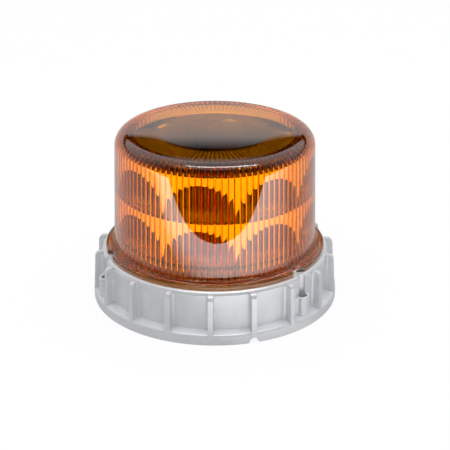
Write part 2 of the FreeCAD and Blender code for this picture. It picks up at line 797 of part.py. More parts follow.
# ---------------------------------------------------------------- output
def parts():
    yield "base_housing", base_housing()
    yield "bottom_cover", bottom_cover()
    yield "cover_seal", cover_seal()
    yield "cover_screws", cover_screws()
    yield "mounting_gasket", mounting_gasket()
    yield "cable_grommet", cable_grommet()
    yield "vent_plug", vent_plug()
    yield "driver_board", driver_board()
    yield "driver_screws", driver_screws()
    yield "capacitors", capacitors()
    yield "inductor", inductor()
    yield "power_chips", power_chips()
    yield "input_terminal", input_terminal()
    yield "stack_connector", stack_connector()
    yield "led_harness", led_harness()
    yield "harness_plug", harness_plug()
    yield "heat_column", heat_column()
    yield "column_screws", column_screws()
    yield "led_board_lower", led_board(deck_z, lower_board_bore, lower_board_screw_ring)
    yield "led_board_upper", led_board(lower_optic_top, upper_board_bore, column_screw_ring)
    yield "board_screws_lower", board_screws(lower_board_top, lower_board_screw_ring,
                                             casting_wall)
    yield "board_screws_upper", board_screws(upper_board_top, column_screw_ring,
                                             column_flange_t)
    yield "leds_lower", leds(lower_board_top)
    yield "leds_upper", leds(upper_board_top)
    yield "reflector_lower", reflector(lower_board_top)
    yield "reflector_upper", reflector(upper_board_top)
    yield "optic_screws_lower", optic_screws(lower_board_top, tab_t + board_t + casting_wall)
    yield "optic_screws_upper", optic_screws(upper_board_top, tab_t + board_t + nut_h)
    yield "optic_nuts", optic_nuts()
    yield "lens_seal", lens_seal()
    yield "lens_ring", lens_ring()
    yield "lens", lens()


os.makedirs("parts", exist_ok=True)
for name, shape in parts():
    shape.exportStep("parts/" + name + ".step")
    print(name, len(shape.Solids), shape.isValid(), round(shape.Volume, 2))
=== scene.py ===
"""Looks of the LED warning beacon: lens, casting, optics, inner parts and a pale stage."""

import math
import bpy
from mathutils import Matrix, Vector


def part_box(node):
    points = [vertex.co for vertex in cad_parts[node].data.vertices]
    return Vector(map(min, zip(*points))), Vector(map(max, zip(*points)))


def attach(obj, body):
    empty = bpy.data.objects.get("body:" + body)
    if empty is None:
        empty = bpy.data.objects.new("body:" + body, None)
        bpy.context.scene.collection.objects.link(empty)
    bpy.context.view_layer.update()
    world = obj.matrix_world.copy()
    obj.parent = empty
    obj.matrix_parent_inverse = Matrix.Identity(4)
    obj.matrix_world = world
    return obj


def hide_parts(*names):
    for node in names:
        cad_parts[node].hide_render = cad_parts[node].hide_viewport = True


bl_info = {
    "name": "LED Warning Beacon",
    "version": (1, 0, 0),
    "blender": (4, 5, 0),
    "location": "View3D > Sidebar > Beacon",
    "description": "Builds the finishes and the fluted lens of an LED warning beacon",
    "category": "Object",
}

import bpy
import numpy as np
from bpy.props import FloatProperty, FloatVectorProperty, IntProperty, PointerProperty

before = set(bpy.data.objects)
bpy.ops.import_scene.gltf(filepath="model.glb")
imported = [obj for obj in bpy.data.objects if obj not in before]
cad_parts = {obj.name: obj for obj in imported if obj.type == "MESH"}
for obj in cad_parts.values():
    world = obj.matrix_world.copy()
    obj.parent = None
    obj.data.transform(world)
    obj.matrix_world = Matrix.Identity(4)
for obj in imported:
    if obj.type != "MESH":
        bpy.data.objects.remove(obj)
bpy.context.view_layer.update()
LENS_LOW, LENS_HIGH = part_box("lens")
RING_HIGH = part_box("lens_ring")[1]
WHITE = (1.0, 1.0, 1.0, 1.0)

# The lens's flange and the ends of its profile, in metres; the rest is in the lens settings.
LIP_RADIUS = 0.0625                     # outside of the lip
LIP_HEIGHT = 0.0025                     # top of the lip, above the skirt's foot
FOOT_ROUND, LIP_ROUND = 0.0003, 0.0008  # under the skirt, and on the lip
STEP_ROUND, STEP_IN = 0.0002, 0.0018    # where the slope starts, in from the lip
BEAD_ROUND = 0.0005                     # of the bead, and of the groove inside it
BEAD_IN, BEAD_UP = 0.0025, 0.0014       # the bead's centre, in from and above the lip
GROOVE_OUT, GROOVE_UP = 0.0009, 0.0019  # the groove's centre, out from the wall, above the lip
WALL_ROUND, WALL_UP = 0.0007, 0.0026    # at the foot of the wall, above the lip
WALL_START = 0.0055                     # foot of the drafted wall, above the skirt's foot
NOTCHED_HEIGHT = 0.0050                 # top of the notches and marks, above the skirt's foot
RING_GAP = 0.0001                       # between the lens and the ring under it
PLAIN_FOOT, FLUTED_FOOT = 0.0003, 0.0006  # inside, where the flutes end, above the ring
FADE_WIDTH, FADE_SHARE = 0.0004, 0.8    # how fast the flutes rise at the plain disc's edge
DISC_ROWS = (0.33, 0.66)                # rows across the plain disc, in shares of its radius
SHARP_ANGLE = 32                        # in degrees; sharper edges stop the smooth shading


# ---------------------------------------------------------------- settings
def length(name, text, default, low=0.0, high=1.0):
    return FloatProperty(name=name, description=text, default=default, min=low, max=high,
                         unit="LENGTH", precision=5)


def colour(name, text, default):
    return FloatVectorProperty(name=name, description=text, default=default, size=3,
                               min=0.0, max=1.0, subtype="COLOR")


def share(name, text, default):
    return FloatProperty(name=name, description=text, default=default, min=0.0, max=1.0,
                         subtype="FACTOR")


def level(name, text, default):
    return FloatProperty(name=name, description=text, default=default, min=0.0)


class LensSettings(bpy.types.PropertyGroup):
    """Sizes and finish of the amber dome."""
    flutes: IntProperty(name="Flutes", description="Upright flutes round the inside",
                        default=104, min=3)
    crest_steps: IntProperty(name="Crest steps", description="Grid columns over a flute's crest",
                             default=8, min=4)
    valley_steps: IntProperty(name="Valley steps", description="Grid columns between two flutes",
                              default=4, min=2)
    crest_share: share("Crest share", "Part of a flute's width that is its crest; the rest is "
                       "the rounded valley", 0.85)
    flute_height: length("Flute height", "How far a flute stands in from the wall", 0.00085)
    wall: length("Wall", "Thickness of the wall between flutes", 0.0020)
    foot_radius: length("Foot radius", "Outside radius at the foot of the wall", 0.0576)
    top_radius: length("Top radius", "Outside radius below the shoulder", 0.0562)
    shoulder: length("Shoulder", "Radius of the round shoulder", 0.0076)
    disc_radius: length("Plain disc", "Radius inside which the top has no flutes", 0.0453)
    skirt_radius: length("Skirt radius", "Inside radius of the flange's skirt", 0.0599)
    bolt_ring: length("Bolt ring", "Radius of the ring of bolts", 0.065)
    notch: length("Notch", "Radius of the flange notch round each bolt", 0.0055)
    bolt_bearing: FloatProperty(name="First bolt", description="Bearing of the first bolt",
                                default=math.radians(48), subtype="ANGLE")
    bolts: IntProperty(name="Bolts", description="Bolts round the flange", default=3, min=1)
    mark_width: length("Mark width", "Width of the index marks in the lip", 0.0012)
    mark_depth: length("Mark depth", "Depth of the index marks in the lip", 0.00045)
    tint: colour("Tint", "Colour of light that has passed straight through one wall",
                 (0.945, 0.56, 0.05))


class CastingSettings(bpy.types.PropertyGroup):
    """Finish of the die-cast base."""
    paint: colour("Paint", "Silver-grey paint", (0.62, 0.633, 0.655))
    flake: share("Flake", "Strength of the metallic flake", 0.35)
    roughness: share("Roughness", "Roughness of the paint", 0.28)


class OpticSettings(bpy.types.PropertyGroup):
    """Finish of the reflectors and boards."""
    plating: colour("Plating", "Vacuum-metallised plating", (0.90, 0.88, 0.84))
    plating_roughness: share("Plating roughness", "Roughness of the plating", 0.06)
    rim: length("Rim", "Height of the plated band at the top of a reflector", 0.0043)
    back: length("Back limit", "A face is a back where its place across the axis, times its "
                 "normal, is below minus this", 0.001)
    # The bare plastic's deep red is partly painted amber shade, standing in for light that
    # crossed the lens more than once.
    bare: colour("Bare plastic", "Dark plastic behind the plating, redder as painted amber shade", (0.06, 0.018, 0.014))
    bare_roughness: share("Bare roughness", "Roughness of the bare plastic", 0.4)
    # The board's deep red is partly painted amber shade: it stands in for light that crossed the
    # amber lens more than once.
    board: colour("Board", "Solder mask of the LED boards, redder as painted amber shade", (0.15, 0.045, 0.035))
    laminate: colour("Laminate", "Cut edges of the LED boards", (0.05, 0.04, 0.03))
    phosphor: colour("Phosphor", "Phosphor under the LED's silicone", (0.85, 0.62, 0.07))


class StageSettings(bpy.types.PropertyGroup):
    """Floor, surroundings, lamp and camera.

    Heights in the room are sines of the angle above the horizon.
    """
    floor_size: length("Floor size", "Side of the square floor", 6.0, high=20.0)
    floor_shade: share("Floor shade", "Grey of the floor under plain light", 0.62)
    floor_white: share("White to the camera", "How far the camera sees the floor as plain "
                       "white; the rest keeps the object's shadow", 0.9)
    sky: level("Room light", "Brightness of the walls that light the object", 0.5)
    sky_slope: level("Upper walls", "Brightness of the walls' top, in room lights", 1.7)
    sky_slope_top: share("Upper walls' height", "Where the walls end", 0.75)
    ceiling: level("Ceiling light", "Brightness of the ceiling that lights the object", 3.5)
    ceiling_start: share("Ceiling's height", "Where the ceiling is fully bright", 0.95)
    table_edge: length("Table edge", "From the lamp's axis to the table's front edge, past which "
                       "lies a dark room", 0.194)
    table_turn: FloatProperty(name="Table turn", description="How far the table's front edge "
                              "is turned", default=math.radians(2.3), subtype="ANGLE")
    table_glow: level("Table's front", "Extra brightness of the table's front, in gloss", 2.3)
    glow_full: length("Glow's front", "In front of the axis, where the glow is full", 0.165)
    glow_left: length("Glow's left start", "In front of the axis, at the left", 0.125)
    glow_right: length("Glow's right start", "In front of the axis, at the right", 0.03)
    glow_span: length("Glow's span", "From the middle to its left and right", 0.05)
    gloss: level("Room in gloss", "Brightness of table and walls as mirrored", 0.5)
    glass_front: level("Front through the lens", "Brightness of the table and walls in front, "
                       "through the lens", 2.35)
    glass_back: level("Back through the lens", "Brightness of the table and walls behind, "
                      "through the lens", 1.3)
    glass_table: length("Table's change", "Distance from the axis over which the table turns "
                        "from front to back brightness", 0.1)
    glass_walls: share("Walls' change", "The same for the walls, as a sine of the bearing", 0.3)
    horizon: share("Horizon", "How far up the pale walls reach", 0.3545)
    wall_edge: share("Wall's edge", "How soft the walls' top edge is, in gloss", 0.002)
    wall_fade: share("Wall's fade", "How soft the walls' top edge is, through the lens", 0.01)
    gap_top: share("Dark gap", "Top of the dark gap over the back wall", 0.40)
    upper_start: share("Upper back wall", "Where the pale wall over the gap is full", 0.43)
    upper_glow: level("Upper back wall's light", "Its brightness, in rooms in gloss", 1.2)
    room_blend: level("Front and back", "How fast the room's front turns into its back", 1.2)
    front_glow: level("Front wall", "Brightness of the front wall, in rooms in gloss", 0.02)
    hatch_start: share("Opening's edge", "Where the pale opening overhead starts", 0.88)
    hatch_full: share("Opening", "Where the pale opening overhead is full", 0.95)
    hatch_glass: level("Opening through the lens", "Its brightness, through the lens", 0.5)
    key_power: FloatProperty(name="Overhead lamp", description="Power of the overhead lamp",
                             default=2.8, min=0.0, unit="POWER")
    key_width: length("Lamp width", "Width of the overhead lamp", 0.80)
    key_depth: length("Lamp depth", "Depth of the overhead lamp", 0.16)
    key_side: length("Lamp's side", "To the right of the axis", 0.10)
    key_height: length("Lamp height", "Above the floor", 1.1, high=5.0)
    camera_distance: length("Camera distance", "From the lamp's axis, along the floor", 0.7894)
    camera_height: length("Camera height", "Above the floor", 0.3909)
    camera_pitch: FloatProperty(name="Camera pitch", description="Angle below the horizon",
                                default=math.radians(23.94), subtype="ANGLE")
    camera_lens: FloatProperty(name="Camera lens", description="Focal length in millimetres",
                               default=120.44, min=1.0)
    camera_shift: FloatProperty(name="Camera shift", description="Sideways shift of the frame",
                                default=0.0225)


SETTINGS = {"beacon_lens": LensSettings, "beacon_casting": CastingSettings,
            "beacon_optics": OpticSettings, "beacon_stage": StageSettings}


# ---------------------------------------------------------------- node helpers
def new_material(name):
    """A material with an empty tree, its Principled shader and its output."""
    material = bpy.data.materials.new(name)
    material.use_nodes = True
    tree = material.node_tree
    tree.nodes.clear()
    shader = tree.nodes.new("ShaderNodeBsdfPrincipled")
    output = tree.nodes.new("ShaderNodeOutputMaterial")
    shader.location, output.location = (300, 0), (600, 0)
    tree.links.new(shader.outputs["BSDF"], output.inputs["Surface"])
    return material, tree, shader


def output_of(tree):
    """The material output of a tree."""
    return next(node for node in tree.nodes if node.type == "OUTPUT_MATERIAL")


def set_values(node, **values):
    """Sets a node's sockets by name, with spaces written as underscores."""
    for name, value in values.items():
        node.inputs[name.replace("_", " ")].default_value = value


def rgba(rgb):
    return (*rgb, 1.0)


def feed(tree, socket, value):
    """Feeds a socket from another one, or gives it a fixed value."""
    if isinstance(value, bpy.types.NodeSocket):
        tree.links.new(value, socket)
    else:
        socket.default_value = value


def maths(tree, operation, *values, clamp=False):
    """The output of a Math node on sockets or numbers."""
    node = tree.nodes.new("ShaderNodeMath")
    node.operation, node.use_clamp = operation, clamp
    for socket, value in zip(node.inputs, values):
        feed(tree, socket, value)
    return node.outputs[0]


def axis(tree, coordinates, name):
    """One axis of a place on the piece (Object) or of a direction in the world (Generated)."""
    place = tree.nodes.new("ShaderNodeTexCoord")
    axes = tree.nodes.new("ShaderNodeSeparateXYZ")
    tree.links.new(place.outputs[coordinates], axes.inputs[0])
    return axes.outputs[name]


def mix_colours(tree, factor, first, second):
    """The colour between two colours or colour sockets."""
    node = tree.nodes.new("ShaderNodeMix")
    node.data_type = "RGBA"
    for name, value in zip(("Factor", "A", "B"), (factor, first, second)):
        feed(tree, node.inputs[name], value)
    return node.outputs["Result"]


def mix_shaders(tree, factor, first, second):
    """The shader between two shaders' outputs."""
    node = tree.nodes.new("ShaderNodeMixShader")
    for socket, value in zip(node.inputs, (factor, first, second)):
        feed(tree, socket, value)
    return node.outputs[0]


def bands(tree, value, *stops):
    """Greys along a value, straight between (position, brightness) stops."""
    node = tree.nodes.new("ShaderNodeValToRGB")
    elements = node.color_ramp.elements
    for place, (position, level) in enumerate(stops):
        element = elements[place] if place < 2 else elements.new(position)
        element.position, element.color = position, rgba([level] * 3)
    tree.links.new(value, node.inputs["Fac"])
    return node.outputs["Color"]


def slope(tree, value, start, end, low, high):
    """Brightness or roughness that goes straight from low at start to high at end."""
    node = tree.nodes.new("ShaderNodeMapRange")
    for name, given in (("Value", value), ("From Min", start), ("From Max", end),
                        ("To Min", low), ("To Max", high)):
        feed(tree, node.inputs[name], given)
    return node.outputs["Result"]


def shine(tree, kind, colour, strength):
    """The output of an Emission or Background node."""
    node = tree.nodes.new(kind)
    feed(tree, node.inputs["Color"], colour)
    feed(tree, node.inputs["Strength"], strength)
    return node.outputs[0]


def group_socket(group, name, direction, kind, default=None):
    socket = group.interface.new_socket(name=name, in_out=direction, socket_type=kind)
    if default is not None:
        socket.default_value = default
    return socket


def fine_grain_group():
    """Shader group: cast or moulded grain as a height, and a slow drift of the shade.

    Height is noise at Scale plus half as much noise at four times Scale; Mask is slow noise
    at a tenth of Scale.
    """
    group = bpy.data.node_groups.new("Fine grain", "ShaderNodeTree")
    group_socket(group, "Scale", "INPUT", "NodeSocketFloat", 900.0)
    group_socket(group, "Height", "OUTPUT", "NodeSocketFloat")
    group_socket(group, "Mask", "OUTPUT", "NodeSocketFloat")
    nodes, links = group.nodes, group.links
    entry, leave = nodes.new("NodeGroupInput"), nodes.new("NodeGroupOutput")
    place = nodes.new("ShaderNodeTexCoord")

    def noise(times, detail):
        node = nodes.new("ShaderNodeTexNoise")
        node.inputs["Detail"].default_value = detail
        scale = maths(group, "MULTIPLY", entry.outputs["Scale"], times)
        links.new(scale, node.inputs["Scale"])
        links.new(place.outputs["Object"], node.inputs["Vector"])
        return node.outputs["Fac"]

    coarse, fine = noise(times=1.0, detail=3.0), noise(times=4.0, detail=2.0)
    fine_share = 0.5
    height = maths(group, "MULTIPLY_ADD", fine, fine_share, coarse)
    links.new(height, leave.inputs["Height"])
    links.new(noise(times=0.1, detail=2.0), leave.inputs["Mask"])
    return group


def add_grain(tree, shader, scale, strength, depth=0.00004, shade=None, drift=0.08):
    """Feeds a material's normal from the grain group, and lets its colour drift a little.

    The shade goes from (1 - drift) to (1 + drift) of itself over the middle of the mask.
    """
    group = bpy.data.node_groups.get("Fine grain") or fine_grain_group()
    grain = tree.nodes.new("ShaderNodeGroup")
    grain.node_tree = group
    grain.inputs["Scale"].default_value = scale
    bump = tree.nodes.new("ShaderNodeBump")
    bump.inputs["Strength"].default_value = strength
    bump.inputs["Distance"].default_value = depth
    tree.links.new(grain.outputs["Height"], bump.inputs["Height"])
    tree.links.new(bump.outputs["Normal"], shader.inputs["Normal"])
    if shade is not None:
        ramp = tree.nodes.new("ShaderNodeValToRGB")
        low, high = ramp.color_ramp.elements
        margin = 0.3
        low.position, high.position = margin, 1 - margin
        low.color = rgba([c * (1 - drift) for c in shade])
        high.color = rgba([min(1.0, c * (1 + drift)) for c in shade])
        tree.links.new(grain.outputs["Mask"], ramp.inputs["Fac"])
        tree.links.new(ramp.outputs["Color"], shader.inputs["Base Color"])


# ---------------------------------------------------------------- finishes
def amber_plastic(settings):
    """Clear polished amber plastic, darker and redder the more of it light passes through.

    A wall of thickness w lets through exp(-a w) of each colour, so a is -ln(tint) / w. A
    flute's mean height is about two thirds of its full height.
    """
    material, tree, shader = new_material("Amber plastic")
    set_values(shader, Base_Color=(1, 1, 1, 1), Roughness=0.0, IOR=1.5,
               Transmission_Weight=1.0, Coat_Weight=1.0, Coat_Roughness=0.0, Coat_IOR=1.6)
    wall = settings.wall + settings.flute_height * 2 / 3
    taken = [-math.log(share) / wall for share in settings.tint]
    depth = tree.nodes.new("ShaderNodeVolumeAbsorption")
    set_values(depth, Color=rgba([1 - a / max(taken) for a in taken]), Density=max(taken))
    tree.links.new(depth.outputs["Volume"], output_of(tree).inputs["Volume"])
    return material


def cast_paint(settings):
    """Silver-grey paint over a fine casting skin."""
    material, tree, shader = new_material("Silver-grey casting paint")
    set_values(shader, Base_Color=rgba(settings.paint), Metallic=settings.flake,
               Roughness=settings.roughness)
    add_grain(tree, shader, scale=1400.0, strength=0.35, depth=0.00006,
              shade=settings.paint, drift=0.04)
    return material


def plating(settings, rim_height):
    """Vacuum-metallised plastic on the faces that look outwards and on the rim.

    The backs below the rim are bare dark plastic, its red partly a painted amber shade: there
    the surface normal points towards the lamp's axis.
    """
    material, tree, shader = new_material("Reflector plating")
    nodes, links = tree.nodes, tree.links
    place, surface = nodes.new("ShaderNodeTexCoord"), nodes.new("ShaderNodeNewGeometry")
    flatten, outward = nodes.new("ShaderNodeVectorMath"), nodes.new("ShaderNodeVectorMath")
    flatten.operation, outward.operation = "MULTIPLY", "DOT_PRODUCT"
    flatten.inputs[1].default_value = (1.0, 1.0, 0.0)
    links.new(place.outputs["Object"], flatten.inputs[0])
    links.new(flatten.outputs[0], outward.inputs[0])
    links.new(surface.outputs["Normal"], outward.inputs[1])
    front = maths(tree, "GREATER_THAN", outward.outputs["Value"], -settings.back)
    rim = maths(tree, "GREATER_THAN", axis(tree, "Object", "Z"), rim_height)
    plated = maths(tree, "MAXIMUM", front, rim)
    # The bare backs' red is partly painted amber shade.
    tone = mix_colours(tree, plated, rgba(settings.bare), rgba(settings.plating))
    gloss = slope(tree, plated, 0.0, 1.0, settings.bare_roughness, settings.plating_roughness)
    links.new(tone, shader.inputs["Base Color"])
    links.new(plated, shader.inputs["Metallic"])
    links.new(gloss, shader.inputs["Roughness"])
    add_grain(tree, shader, scale=260.0, strength=0.08)
    return material


def plain_finish(name, shade, roughness, metallic=0.0, grain=900.0, strength=0.2, coat=0.0):
    """A moulded, machined or coated finish with its own grain."""
    material, tree, shader = new_material(name)
    set_values(shader, Base_Color=rgba(shade), Metallic=metallic, Roughness=roughness,
               Coat_Weight=coat)
    add_grain(tree, shader, scale=grain, strength=strength, shade=shade)
    return material


def board_finish(settings):
    """Dark red solder mask on a board's two faces, its red partly a painted amber shade for light
    that crossed the lens more than once; bare laminate on its cut edges.
    """
    material, tree, shader = new_material("Dark solder mask and painted amber shade")
    set_values(shader, Roughness=0.35, Coat_Weight=0.3)
    add_grain(tree, shader, scale=700.0, strength=0.2, shade=settings.board)
    surface = tree.nodes.new("ShaderNodeNewGeometry")
    axes = tree.nodes.new("ShaderNodeSeparateXYZ")
    tree.links.new(surface.outputs["Normal"], axes.inputs[0])
    upright = 0.5
    face = maths(tree, "GREATER_THAN", maths(tree, "ABSOLUTE", axes.outputs["Z"]), upright)
    # The solder-mask colour, whose red is partly painted amber shade.
    mask = shader.inputs["Base Color"].links[0].from_socket
    tone = mix_colours(tree, face, rgba(settings.laminate), mask)
    tree.links.new(tone, shader.inputs["Base Color"])
    return material


# Each finish: colour, roughness, metallic, grain, grain strength, coat.
PLAIN = {
    "Black moulded plug": ((0.012, 0.012, 0.013), 0.45, 0.0, 1200.0, 0.25, 0.0),
    "Natural nylon ring": ((0.74, 0.71, 0.64), 0.5, 0.0, 1200.0, 0.25, 0.0),
    "Seal rubber": ((0.02, 0.02, 0.02), 0.7, 0.0, 1600.0, 0.3, 0.0),
    "Grey cover plastic": ((0.16, 0.165, 0.17), 0.5, 0.0, 1500.0, 0.35, 0.0),
    "Green board": ((0.01, 0.12, 0.04), 0.3, 0.0, 700.0, 0.1, 0.4),
    "Black component": ((0.02, 0.02, 0.022), 0.45, 0.0, 1800.0, 0.2, 0.0),
    "Green terminal": ((0.03, 0.25, 0.08), 0.4, 0.0, 1200.0, 0.2, 0.0),
    "Red wire": ((0.42, 0.02, 0.015), 0.4, 0.0, 900.0, 0.1, 0.0),
    "Zinc-plated steel": ((0.62, 0.62, 0.60), 0.3, 1.0, 1500.0, 0.15, 0.0),
    "Machined aluminium": ((0.72, 0.73, 0.74), 0.32, 1.0, 1800.0, 0.2, 0.0),
    "Ivory plug": ((0.72, 0.70, 0.62), 0.4, 0.0, 900.0, 0.1, 0.0),
}

WEARS = {
    "Black moulded plug": ["vent_plug"],
    "Natural nylon ring": ["lens_ring"],
    "Seal rubber": ["lens_seal", "cover_seal", "mounting_gasket", "cable_grommet"],
    "Grey cover plastic": ["bottom_cover"],
    "Green board": ["driver_board"],
    "Black component": ["capacitors", "inductor", "power_chips", "stack_connector"],
    "Green terminal": ["input_terminal"],
    "Red wire": ["led_harness"],
    "Zinc-plated steel": ["cover_screws", "driver_screws", "column_screws", "optic_nuts",
                          "board_screws_lower", "board_screws_upper",
                          "optic_screws_lower", "optic_screws_upper"],
    "Machined aluminium": ["heat_column"],
    "Ivory plug": ["harness_plug"],
}


def dress(node, material):
    """Gives a CAD node its material."""
    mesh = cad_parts[node].data
    mesh.materials.clear()
    mesh.materials.append(material)


# ---------------------------------------------------------------- lens mesh
def arc(centre, radius, start, end, count):
    """Points of an arc in the (radius, height) plane, from angle start to end in degrees."""
    a = np.radians(np.linspace(start, end, count))
    return np.column_stack([centre[0] + radius * np.cos(a), centre[1] + radius * np.sin(a)])


def drafted_wall(foot_radius, foot, top_radius, top):
    """Rows of a straight drafted wall, closer together at its ends to keep its shading flat."""
    share = np.array([0.0, 0.01, 0.03, 0.5, 0.97, 0.99, 1.0])
    return np.column_stack([foot_radius + (top_radius - foot_radius) * share,
                            foot + (top - foot) * share])


def lens_outside(s):
    """Profile of the outside as (radius, height) rows, from the skirt up to the top's middle."""
    low, high = LENS_LOW.z, LENS_HIGH.z
    flange = min(LENS_HIGH.x, LIP_RADIUS)
    lip = low + LIP_HEIGHT
    parts = [
        # the skirt's foot
        arc((flange - FOOT_ROUND, low + FOOT_ROUND), FOOT_ROUND, -90, 0, 3),
        # the rounded lip
        arc((flange - LIP_ROUND, lip - LIP_ROUND), LIP_ROUND, 0, 90, 6),
        # the start of the slope, and the bead at its top
        arc((flange - STEP_IN, lip + STEP_ROUND), STEP_ROUND, -90, -150, 3),
        arc((flange - BEAD_IN, lip + BEAD_UP), BEAD_ROUND, 20, 150, 7),
        # the groove inside the bead, and the foot of the wall
        arc((s.foot_radius + GROOVE_OUT, lip + GROOVE_UP), BEAD_ROUND, -90, -170, 5),
        arc((s.foot_radius + WALL_ROUND, lip + WALL_UP), WALL_ROUND, -150, -178, 4),
        drafted_wall(s.foot_radius, low + WALL_START, s.top_radius, high - s.shoulder),
        # the shoulder, and the flat top up to the fan in its middle
        arc((s.top_radius - s.shoulder, high - s.shoulder), s.shoulder, 1.2, 90, 15)[1:],
        np.array([[s.disc_radius * share, high] for share in DISC_ROWS[::-1]]),
    ]
    return np.vstack(parts)


def lens_inside(s):
    """Profile of the inside, valley of the flutes, from the top's middle down to the foot.

    The third column is how much of the flute height applies at that row.
    """
    low, high = RING_HIGH.z + RING_GAP, LENS_HIGH.z
    ceiling = high - s.wall
    disc = [[s.disc_radius * share, ceiling, 0.0] for share in (*DISC_ROWS, 1.0)]
    disc.append([s.disc_radius + FADE_WIDTH, ceiling, FADE_SHARE])
    bend = arc((s.top_radius - s.shoulder, high - s.shoulder), s.shoulder - s.wall, 90, 1.0, 12)
    foot = s.foot_radius - s.wall
    wall = drafted_wall(foot, low + FLUTED_FOOT, s.top_radius - s.wall, high - s.shoulder)[::-1]
    fluted = np.vstack([bend[:-1], wall])
    fluted = np.column_stack([fluted, np.ones(len(fluted))])
    end = [[foot, low + PLAIN_FOOT, 0.0], [foot, low, 0.0]]
    return np.vstack([disc, fluted, end])


def flange_limit(radius, angle, s):
    """Radius held inside the notch round each bolt and the index mark half way between two.

    On a ray at angle d from a bolt, the notch circle's near side lies at
    ring cos d - sqrt(notch^2 - ring^2 sin^2 d); beyond the circle the radius is free, except
    that within half a mark's width of its bearing the lip is a mark's depth lower.
    """
    step = 2 * math.pi / s.bolts
    from_bolt = (angle - s.bolt_bearing + step / 2) % step - step / 2
    inside = s.notch ** 2 - (s.bolt_ring * np.sin(from_bolt)) ** 2
    near = s.bolt_ring * np.cos(from_bolt) - np.sqrt(np.maximum(inside, 0.0))
    limit = np.where(inside > 0, near, LENS_HIGH.x)
    from_mark = (angle - s.bolt_bearing) % step - step / 2
    marked = np.abs(LENS_HIGH.x * np.sin(from_mark)) < s.mark_width / 2
    limit[marked] = LENS_HIGH.x - s.mark_depth
    return np.minimum(radius[:, None], limit[None, :])


def flute_section(s):
    """Columns of one flute as (place, height), both in shares, closer together in the valley.

    With u from -1 to 1 over the flute and a crest of share c, the height is 1 - u^2 / c over
    the crest and (1 - |u|)^2 / (1 - c) in the valley; the two meet in a common slope.
    """
    c = s.crest_share
    u = np.concatenate([np.linspace(-c, c, s.crest_steps + 1),
                        np.linspace(c, 2 - c, s.valley_steps + 1)[1:-1]])
    height = np.where(np.abs(u) <= c, 1 - u ** 2 / c, (1 - np.abs(u)) ** 2 / (1 - c))
    return (u + 1) / 2, height


def lens_mesh(s):
    """Closed surface of the lens: columns run round the axis, rows along the profile.

    The outside rows come first, then the inside ones, so row r and row r + 1 always share
    faces; the first and last rows meet under the skirt, and a fan closes the top both times.
    Inside, a flute's height is taken along the wall's own normal, which leans over with the
    shoulder from level to upright.
    """
    place, crest = flute_section(s)
    angle = (2 * math.pi / s.flutes * (np.arange(s.flutes)[:, None] + place[None, :])).ravel()
    crest = np.tile(crest, s.flutes)
    columns = len(angle)
    level_row = np.ones(columns)

    outside = lens_outside(s)
    radii_out = outside[:, :1] * level_row
    notched = outside[:, 1] < LENS_LOW.z + NOTCHED_HEIGHT
    radii_out[notched] = flange_limit(outside[notched, 0], angle, s)

    inside = lens_inside(s)
    ceiling = LENS_HIGH.z - s.wall
    centre_r, centre_z = s.top_radius - s.shoulder, LENS_HIGH.z - s.shoulder
    lean = np.clip((inside[:, 1] - centre_z) / (ceiling - centre_z), 0.0, 1.0)
    steep = np.sqrt(1.0 - lean ** 2)
    flat_part = (inside[:, 0] < centre_r) | (lean >= 1.0)
    steep[flat_part], lean[flat_part] = 0.0, 1.0
    rise = s.flute_height * inside[:, 2:] * crest
    radii_in = inside[:, :1] - rise * steep[:, None]
    heights_in = inside[:, 1:2] - rise * lean[:, None]

    under = np.array([[s.skirt_radius, RING_HIGH.z + RING_GAP], [s.skirt_radius, LENS_LOW.z]])
    radius = np.vstack([radii_out, radii_in, flange_limit(under[:, 0], angle, s)])
    height = np.vstack([outside[:, 1:] * level_row, heights_in, under[:, 1:] * level_row])
    x, y = radius * np.sin(angle), -radius * np.cos(angle)
    points = np.stack([x, y, height], axis=-1).reshape(-1, 3)

    rows, turn = len(radius), len(outside) - 1
    here = np.arange(columns)
    beside = (here + 1) % columns
    faces = []
    for row in range(rows):
        if row != turn:
            low, high = row * columns, ((row + 1) % rows) * columns
            faces.append(np.column_stack([low + here, low + beside, high + beside, high + here]))
    top, roof = len(points), len(points) + 1
    points = np.vstack([points, [[0, 0, LENS_HIGH.z], [0, 0, ceiling]]])
    rim, under_rim = turn * columns, (turn + 1) * columns
    fans = np.vstack([
        np.column_stack([rim + here, rim + beside, np.full(columns, top)]),
        np.column_stack([under_rim + beside, under_rim + here, np.full(columns, roof)])])
    return points, np.vstack(faces), fans


def mesh_object(name, points, quads, triangles=None):
    """A smooth-shaded mesh object from vertex and face arrays."""
    mesh = bpy.data.meshes.new(name)
    faces = quads.tolist() + ([] if triangles is None else triangles.tolist())
    mesh.from_pydata(points.tolist(), [], faces)
    mesh.update()
    mesh.polygons.foreach_set("use_smooth", np.ones(len(mesh.polygons), dtype=bool))
    thing = bpy.data.objects.new(name, mesh)
    bpy.context.scene.collection.objects.link(thing)
    return thing


def sharpen(mesh, degrees):
    """Marks the edges where two faces' normals part by more than an angle as sharp."""
    count = len(mesh.polygons)
    normals = np.zeros(count * 3)
    mesh.polygons.foreach_get("normal", normals)
    normals = normals.reshape(-1, 3)
    edge_of = np.zeros(len(mesh.loops), dtype=np.int64)
    mesh.loops.foreach_get("edge_index", edge_of)
    totals = np.zeros(count, dtype=np.int64)
    mesh.polygons.foreach_get("loop_total", totals)
    face_of = np.repeat(np.arange(count), totals)
    order = np.argsort(edge_of, kind="stable")
    edges, faces = edge_of[order], face_of[order]
    same = edges[1:] == edges[:-1]
    first, second = faces[:-1][same], faces[1:][same]
    cosine = np.einsum("ij,ij->i", normals[first], normals[second])
    sharp = np.zeros(len(mesh.edges), dtype=bool)
    sharp[edges[:-1][same]] = cosine < math.cos(math.radians(degrees))
    attribute = mesh.attributes.get("sharp_edge") or mesh.attributes.new(
        "sharp_edge", "BOOLEAN", "EDGE")
    attribute.data.foreach_set("value", sharp)


